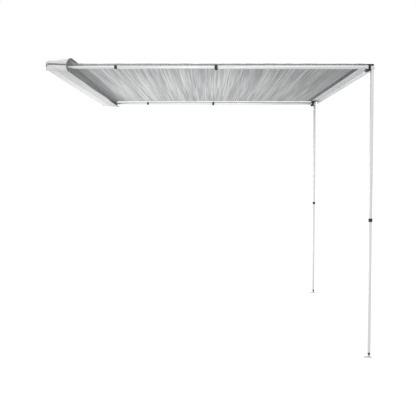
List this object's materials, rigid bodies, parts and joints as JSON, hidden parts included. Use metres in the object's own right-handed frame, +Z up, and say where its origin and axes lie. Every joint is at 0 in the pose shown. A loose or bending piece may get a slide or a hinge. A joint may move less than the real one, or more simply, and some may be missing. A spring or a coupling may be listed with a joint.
{
  "type": "vehicle side awning",
  "caption": "Pull-out vehicle side awning: zip bag on a wall rail, canopy, front rail, telescopic arms and legs.",
  "frame": {"origin": "middle of the back face of the backboard, which lies against the vehicle or its roof rack bracket", "axes": "+X out from the vehicle, +Y along the vehicle, +Z up"},
  "size_m": [2.4963, 2.5271, 2.2883],
  "materials": {
    "silver_aluminium": "satin anodised",
    "black_plastic": "moulded, matt",
    "grey_plastic": "moulded, matt",
    "steel": "zinc plated",
    "canopy_cloth": "coated canvas",
    "bag_cloth": "coated cloth, smooth",
    "bag_trim": "woven tape"
  },
  "bodies": {
    "wall_unit": {"backboard": "silver_aluminium", "near_end_cap": "grey_plastic", "far_end_cap": "grey_plastic", "near_cap_screw": "steel", "far_cap_screw": "steel", "bag_upper_flap": "bag_cloth", "bag_lower_flap": "bag_cloth", "near_bag_end_panel": "bag_cloth", "far_bag_end_panel": "bag_cloth", "upper_zip_tape": "bag_trim", "lower_zip_tape": "bag_trim", "zip_slider": "grey_plastic", "canopy_rear_bead": "bag_trim"},
    "pull": {"zip_pull": "grey_plastic"},
    "rail": {"front_rail": "silver_aluminium", "canopy": "canopy_cloth", "canopy_front_bead": "bag_trim", "near_knuckle": "black_plastic", "far_knuckle": "black_plastic", "near_knuckle_screw": "steel", "far_knuckle_screw": "steel", "near_arm_pivot_pin": "steel", "far_arm_pivot_pin": "steel", "near_leg_pivot_pin": "steel", "far_leg_pivot_pin": "steel"},
    "near_arm_outer": {"near_arm_hinge_end": "silver_aluminium", "near_arm_outer_tube": "silver_aluminium"},
    "near_large_collar": {"near_arm_large_collar": "black_plastic"},
    "near_arm_middle": {"near_arm_middle_tube": "silver_aluminium", "near_arm_middle_bush": "black_plastic"},
    "near_small_collar": {"near_arm_small_collar": "black_plastic"},
    "near_arm_inner": {"near_arm_inner_tube": "silver_aluminium", "near_arm_inner_bush": "black_plastic", "near_arm_tip": "grey_plastic"},
    "near_leg_upper": {"near_leg_hinge_end": "silver_aluminium", "near_leg_upper_tube": "silver_aluminium"},
    "near_leg_lock": {"near_leg_collar": "black_plastic"},
    "near_leg_lower": {"near_leg_lower_tube": "silver_aluminium", "near_leg_bush": "black_plastic", "near_foot_clevis": "black_plastic", "near_foot_pin": "steel"},
    "near_foot": {"near_foot_plate": "steel"},
    "far_arm_outer": {"far_arm_hinge_end": "silver_aluminium", "far_arm_outer_tube": "silver_aluminium"},
    "far_large_collar": {"far_arm_large_collar": "black_plastic"},
    "far_arm_middle": {"far_arm_middle_tube": "silver_aluminium", "far_arm_middle_bush": "black_plastic"},
    "far_small_collar": {"far_arm_small_collar": "black_plastic"},
    "far_arm_inner": {"far_arm_inner_tube": "silver_aluminium", "far_arm_inner_bush": "black_plastic", "far_arm_tip": "grey_plastic"},
    "far_leg_upper": {"far_leg_hinge_end": "silver_aluminium", "far_leg_upper_tube": "silver_aluminium"},
    "far_leg_lock": {"far_leg_collar": "black_plastic"},
    "far_leg_lower": {"far_leg_lower_tube": "silver_aluminium", "far_leg_bush": "black_plastic", "far_foot_clevis": "black_plastic", "far_foot_pin": "steel"},
    "far_foot": {"far_foot_plate": "steel"}
  },
  "joints": [
    {"name": "rail_travel", "type": "slide", "parent": "wall_unit", "child": "rail", "axis": [1, 0, 0], "range_m": [-1.17, 0], "deforming": ["canopy"]},
    {"name": "pull_swing", "type": "hinge", "parent": "wall_unit", "child": "pull", "pos_m": [0.008, -1.2647, 0.011], "axis": [-1, 0, 0], "range_deg": [0, 110]},
    {"name": "near_arm_swing", "type": "hinge", "parent": "rail", "child": "near_arm_outer", "pos_m": [2.425, -1.235, -0.008], "axis": [0, 0, 1], "range_deg": [-90, 0]},
    {"name": "near_arm_middle_slide", "type": "slide", "parent": "near_arm_outer", "child": "near_arm_middle", "axis": [-1, 0, 0], "range_m": [-0.732, 0]},
    {"name": "near_arm_inner_slide", "type": "slide", "parent": "near_arm_middle", "child": "near_arm_inner", "axis": [-1, 0, 0], "range_m": [-0.439, 0]},
    {"name": "near_large_collar_twist", "type": "hinge", "parent": "near_arm_outer", "child": "near_large_collar", "pos_m": [1.2821, -1.235, -0.008], "axis": [1, 0, 0], "range_deg": [0, 90]},
    {"name": "near_small_collar_twist", "type": "hinge", "parent": "near_arm_middle", "child": "near_small_collar", "pos_m": [0.5231, -1.235, -0.008], "axis": [1, 0, 0], "range_deg": [0, 90]},
    {"name": "near_leg_swing", "type": "hinge", "parent": "rail", "child": "near_leg_upper", "pos_m": [2.462, -1.235, -0.008], "axis": [-1, 0, 0], "range_deg": [-90, 0]},
    {"name": "near_leg_slide", "type": "slide", "parent": "near_leg_upper", "child": "near_leg_lower", "axis": [0, 0, -1], "range_m": [-0.993, 0]},
    {"name": "near_leg_lock_twist", "type": "hinge", "parent": "near_leg_upper", "child": "near_leg_lock", "pos_m": [2.462, -1.235, -1.168], "axis": [0, 0, 1], "range_deg": [0, 90]},
    {"name": "near_foot_turn", "type": "hinge", "parent": "near_leg_lower", "child": "near_foot", "pos_m": [2.462, -1.235, -2.208], "axis": [0, -1, 0], "range_deg": [-90, 20]},
    {"name": "far_arm_swing", "type": "hinge", "parent": "rail", "child": "far_arm_outer", "pos_m": [2.425, 1.235, -0.008], "axis": [0, 0, -1], "range_deg": [-90, 0]},
    {"name": "far_arm_middle_slide", "type": "slide", "parent": "far_arm_outer", "child": "far_arm_middle", "axis": [-1, 0, 0], "range_m": [-0.732, 0]},
    {"name": "far_arm_inner_slide", "type": "slide", "parent": "far_arm_middle", "child": "far_arm_inner", "axis": [-1, 0, 0], "range_m": [-0.439, 0]},
    {"name": "far_large_collar_twist", "type": "hinge", "parent": "far_arm_outer", "child": "far_large_collar", "pos_m": [1.2821, 1.235, -0.008], "axis": [1, 0, 0], "range_deg": [0, 90]},
    {"name": "far_small_collar_twist", "type": "hinge", "parent": "far_arm_middle", "child": "far_small_collar", "pos_m": [0.5231, 1.235, -0.008], "axis": [1, 0, 0], "range_deg": [0, 90]},
    {"name": "far_leg_swing", "type": "hinge", "parent": "rail", "child": "far_leg_upper", "pos_m": [2.462, 1.235, -0.008], "axis": [1, 0, 0], "range_deg": [-90, 0]},
    {"name": "far_leg_slide", "type": "slide", "parent": "far_leg_upper", "child": "far_leg_lower", "axis": [0, 0, -1], "range_m": [-0.993, 0]},
    {"name": "far_leg_lock_twist", "type": "hinge", "parent": "far_leg_upper", "child": "far_leg_lock", "pos_m": [2.462, 1.235, -1.168], "axis": [0, 0, 1], "range_deg": [0, 90]},
    {"name": "far_foot_turn", "type": "hinge", "parent": "far_leg_lower", "child": "far_foot", "pos_m": [2.462, 1.235, -2.208], "axis": [0, -1, 0], "range_deg": [-90, 20]}
  ],
  "couplings": [
    {"joint": "near_arm_middle_slide", "follows": "rail_travel", "ratio": 0.625},
    {"joint": "near_arm_inner_slide", "follows": "rail_travel", "ratio": 0.375},
    {"joint": "far_arm_middle_slide", "follows": "rail_travel", "ratio": 0.625},
    {"joint": "far_arm_inner_slide", "follows": "rail_travel", "ratio": 0.375}
  ]
}
